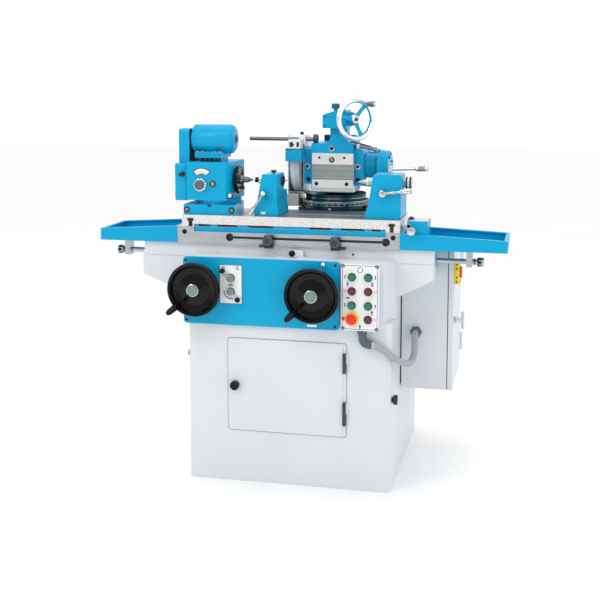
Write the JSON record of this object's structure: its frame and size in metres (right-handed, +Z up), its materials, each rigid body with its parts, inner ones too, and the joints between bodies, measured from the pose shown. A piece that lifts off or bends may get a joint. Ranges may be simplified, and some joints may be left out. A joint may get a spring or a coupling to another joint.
{
  "type": "universal tool and cylindrical grinder",
  "caption": "Hydraulic tool and cylindrical grinder: cabinet base, sliding table with workhead and two tailstocks, swivelling wheelhead with elevation handwheel, control box and side cabinet.",
  "frame": {"origin": "centre of the base's footprint, on the floor", "axes": "+Z up, +X to the operator's right, +Y away from the operator; the operator stands at -Y"},
  "size_m": [1.575, 0.935, 1.4585],
  "materials": {
    "paint_grey": "satin",
    "paint_blue": "satin",
    "machined_steel": "ground",
    "scraped_steel": "scraped",
    "bright_steel": "polished",
    "dark_iron": "satin",
    "black_plastic": "gloss",
    "aluminium_plate": "satin",
    "hose_grey": "matte",
    "button_green": "gloss",
    "button_maroon": "gloss",
    "button_red": "gloss",
    "abrasive": "rough"
  },
  "bodies": {
    "base": {"base_casting": "paint_grey", "front_panel": "paint_blue", "valve_plate": "aluminium_plate", "control_box": "paint_grey", "conduit_fittings": "dark_iron", "flexible_conduit": "hose_grey", "electrical_cabinet": "paint_grey", "hydraulic_cylinder": "dark_iron", "hydraulic_unit": "dark_iron"},
    "table": {"lower_table": "machined_steel", "left_tray": "paint_blue", "right_tray": "paint_blue", "piston_rods": "machined_steel"},
    "swivel_table": {"upper_table": "scraped_steel", "workhead_base": "paint_blue", "left_tailstock": "paint_blue", "right_tailstock": "paint_blue"},
    "workhead": {"workhead_body": "paint_blue", "pulley_cover": "paint_blue", "work_motor": "paint_blue"},
    "wheelhead_turntable": {"wheelhead_swivel": "machined_steel"},
    "wheelhead": {"wheelhead_housing": "paint_blue", "slotted_plate": "scraped_steel", "belt_housing": "paint_blue", "wheel_motor": "paint_blue", "wheel_guard": "aluminium_plate", "guard_rod": "bright_steel"},
    "grinding_spindle": {"wheel_spindle": "machined_steel", "grinding_wheel": "abrasive"},
    "left_dog_body": {"left_dog": "dark_iron"},
    "right_dog_body": {"right_dog": "dark_iron"},
    "reversing_lever_body": {"reversing_lever": "bright_steel"},
    "table_handwheel_body": {"table_handwheel": "black_plastic"},
    "cross_handwheel_body": {"cross_handwheel": "black_plastic"},
    "valve_lever_upper_body": {"valve_lever_upper": "bright_steel"},
    "valve_lever_lower_body": {"valve_lever_lower": "bright_steel"},
    "work_spindle_body": {"work_spindle": "machined_steel"},
    "speed_knob_body": {"speed_knob": "bright_steel"},
    "left_quill_body": {"left_quill": "machined_steel"},
    "left_lever_body": {"left_lever": "bright_steel"},
    "right_quill_body": {"right_quill": "machined_steel"},
    "right_lever_top_body": {"right_lever_top": "bright_steel"},
    "right_lever_front_body": {"right_lever_front": "bright_steel"},
    "swivel_knob_body": {"swivel_knob": "bright_steel"},
    "cross_slide_body": {"cross_slide": "paint_blue"},
    "elevation_handwheel_body": {"elevation_handwheel": "bright_steel"},
    "head_clamp_lever_body": {"head_clamp_lever": "bright_steel"},
    "base_door_body": {"base_door": "paint_grey"},
    "door_knob_body": {"door_knob": "black_plastic"},
    "cabinet_door_body": {"cabinet_door": "paint_grey"},
    "main_switch_body": {"main_switch": "button_red"},
    "latch_handle_body": {"latch_handle": "bright_steel"},
    "button_1_body": {"button_1": "button_green"},
    "button_2_body": {"button_2": "button_green"},
    "button_3_body": {"button_3": "button_maroon"},
    "button_4_body": {"button_4": "button_maroon"},
    "button_5_body": {"button_5": "button_green"},
    "button_6_body": {"button_6": "button_green"},
    "emergency_stop_body": {"emergency_stop": "button_red"},
    "button_8_body": {"button_8": "button_maroon"}
  },
  "joints": [
    {"name": "table_slide", "type": "slide", "parent": "base", "child": "table", "axis": [1, 0, 0], "range_m": [-0.2, 0.2]},
    {"name": "table_swivel", "type": "hinge", "parent": "table", "child": "swivel_table", "pos_m": [-0.03, -0.185, 0.966], "axis": [0, 0, 1], "range_deg": [-6, 6]},
    {"name": "left_dog_slide", "type": "slide", "parent": "table", "child": "left_dog_body", "axis": [1, 0, 0], "range_m": [-0.12, 0.05]},
    {"name": "right_dog_slide", "type": "slide", "parent": "table", "child": "right_dog_body", "axis": [1, 0, 0], "range_m": [-0.05, 0.15]},
    {"name": "reversing", "type": "hinge", "parent": "base", "child": "reversing_lever_body", "pos_m": [0.016, -0.3, 0.877], "axis": [0, 1, 0], "range_deg": [-8, 8]},
    {"name": "table_feed", "type": "hinge", "parent": "base", "child": "table_handwheel_body", "pos_m": [-0.344, -0.43, 0.75], "axis": [0, 1, 0], "range_deg": [-690, 690]},
    {"name": "cross_feed", "type": "hinge", "parent": "base", "child": "cross_handwheel_body", "pos_m": [0.105, -0.43, 0.746], "axis": [0, 1, 0], "range_deg": [-590, 110]},
    {"name": "valve_upper", "type": "hinge", "parent": "base", "child": "valve_lever_upper_body", "pos_m": [-0.214, -0.42, 0.791], "axis": [0, 1, 0], "range_deg": [-25, 25]},
    {"name": "valve_lower", "type": "hinge", "parent": "base", "child": "valve_lever_lower_body", "pos_m": [-0.214, -0.42, 0.739], "axis": [0, 1, 0], "range_deg": [-25, 25]},
    {"name": "workhead_swivel", "type": "hinge", "parent": "swivel_table", "child": "workhead", "pos_m": [-0.325, -0.2, 1.057], "axis": [0, 0, 1], "range_deg": [-45, 45]},
    {"name": "work_spin", "type": "hinge", "parent": "workhead", "child": "work_spindle_body", "pos_m": [-0.3, -0.2, 1.141], "axis": [1, 0, 0], "continuous": true},
    {"name": "speed_control", "type": "hinge", "parent": "workhead", "child": "speed_knob_body", "pos_m": [-0.366, -0.3, 1.127], "axis": [0, 1, 0], "range_deg": [-130, 130]},
    {"name": "left_quill_slide", "type": "slide", "parent": "swivel_table", "child": "left_quill_body", "axis": [1, 0, 0], "range_m": [-0.004, 0.012]},
    {"name": "left_quill_clamp", "type": "hinge", "parent": "swivel_table", "child": "left_lever_body", "pos_m": [-0.117, -0.3, 1.098], "axis": [0, 1, 0], "range_deg": [0, 50]},
    {"name": "right_quill_slide", "type": "slide", "parent": "swivel_table", "child": "right_quill_body", "axis": [1, 0, 0], "range_m": [-0.006, 0.02]},
    {"name": "right_quill_lever", "type": "hinge", "parent": "swivel_table", "child": "right_lever_top_body", "pos_m": [0.353, -0.2, 1.191], "axis": [0, 0, 1], "range_deg": [-20, 40]},
    {"name": "right_quill_clamp", "type": "hinge", "parent": "swivel_table", "child": "right_lever_front_body", "pos_m": [0.338, -0.3, 1.108], "axis": [0, 1, 0], "range_deg": [-30, 20]},
    {"name": "swivel_adjust", "type": "hinge", "parent": "table", "child": "swivel_knob_body", "pos_m": [0.449, -0.3, 0.975], "axis": [0, 1, 0], "range_deg": [-130, 130]},
    {"name": "cross_feed_slide", "type": "slide", "parent": "base", "child": "cross_slide_body", "axis": [0, 1, 0], "range_m": [-0.03, 0.17]},
    {"name": "wheelhead_turn", "type": "hinge", "parent": "cross_slide_body", "child": "wheelhead_turntable", "pos_m": [0.09, 0.08, 1.018], "axis": [0, 0, 1], "range_deg": [-15, 90]},
    {"name": "wheelhead_lift", "type": "slide", "parent": "wheelhead_turntable", "child": "wheelhead", "axis": [0, 0, 1], "range_m": [0, 0.12]},
    {"name": "elevation", "type": "hinge", "parent": "wheelhead", "child": "elevation_handwheel_body", "pos_m": [0.195, -0.06, 1.373], "axis": [0.6428, -0.766, 0], "range_deg": [0, 830]},
    {"name": "wheel_spin", "type": "hinge", "parent": "wheelhead", "child": "grinding_spindle", "pos_m": [-0.05, 0.08, 1.182], "axis": [1, 0, 0], "continuous": true},
    {"name": "head_clamp", "type": "hinge", "parent": "wheelhead", "child": "head_clamp_lever_body", "pos_m": [0.19, 0.01, 1.264], "axis": [0, 0, 1], "range_deg": [-30, 25]},
    {"name": "base_door_hinge", "type": "hinge", "parent": "base", "child": "base_door_body", "pos_m": [0.217, -0.409, 0.38], "axis": [0, 0, 1], "range_deg": [0, 120]},
    {"name": "base_door_lock", "type": "hinge", "parent": "base_door_body", "child": "door_knob_body", "pos_m": [-0.203, -0.41, 0.378], "axis": [0, 1, 0], "range_deg": [0, 90]},
    {"name": "cabinet_door_hinge", "type": "hinge", "parent": "base", "child": "cabinet_door_body", "pos_m": [0.597, 0.251, 0.61], "axis": [0, 0, 1], "range_deg": [0, 110]},
    {"name": "main_switch_turn", "type": "hinge", "parent": "cabinet_door_body", "child": "main_switch_body", "pos_m": [0.6, -0.095, 0.79], "axis": [1, 0, 0], "range_deg": [0, 90]},
    {"name": "cabinet_latch", "type": "hinge", "parent": "cabinet_door_body", "child": "latch_handle_body", "pos_m": [0.6, -0.1, 0.602], "axis": [1, 0, 0], "range_deg": [0, 90]},
    {"name": "button_1_press", "type": "slide", "parent": "base", "child": "button_1_body", "axis": [0, 1, 0], "range_m": [0, 0.004], "stiffness_N_per_m": 600},
    {"name": "button_2_press", "type": "slide", "parent": "base", "child": "button_2_body", "axis": [0, 1, 0], "range_m": [0, 0.004], "stiffness_N_per_m": 600},
    {"name": "button_3_press", "type": "slide", "parent": "base", "child": "button_3_body", "axis": [0, 1, 0], "range_m": [0, 0.004], "stiffness_N_per_m": 600},
    {"name": "button_4_press", "type": "slide", "parent": "base", "child": "button_4_body", "axis": [0, 1, 0], "range_m": [0, 0.004], "stiffness_N_per_m": 600},
    {"name": "button_5_press", "type": "slide", "parent": "base", "child": "button_5_body", "axis": [0, 1, 0], "range_m": [0, 0.004], "stiffness_N_per_m": 600},
    {"name": "button_6_press", "type": "slide", "parent": "base", "child": "button_6_body", "axis": [0, 1, 0], "range_m": [0, 0.004], "stiffness_N_per_m": 600},
    {"name": "emergency_stop_press", "type": "slide", "parent": "base", "child": "emergency_stop_body", "axis": [0, 1, 0], "range_m": [0, 0.004], "stiffness_N_per_m": 600},
    {"name": "button_8_press", "type": "slide", "parent": "base", "child": "button_8_body", "axis": [0, 1, 0], "range_m": [0, 0.004], "stiffness_N_per_m": 600}
  ],
  "couplings": [
    {"joint": "table_feed", "follows": "table_slide", "rad_per_m": 60},
    {"joint": "cross_feed", "follows": "cross_feed_slide", "rad_per_m": -60},
    {"joint": "elevation", "follows": "wheelhead_lift", "rad_per_m": 120},
    {"joint": "swivel_adjust", "follows": "table_swivel", "ratio": 20}
  ]
}
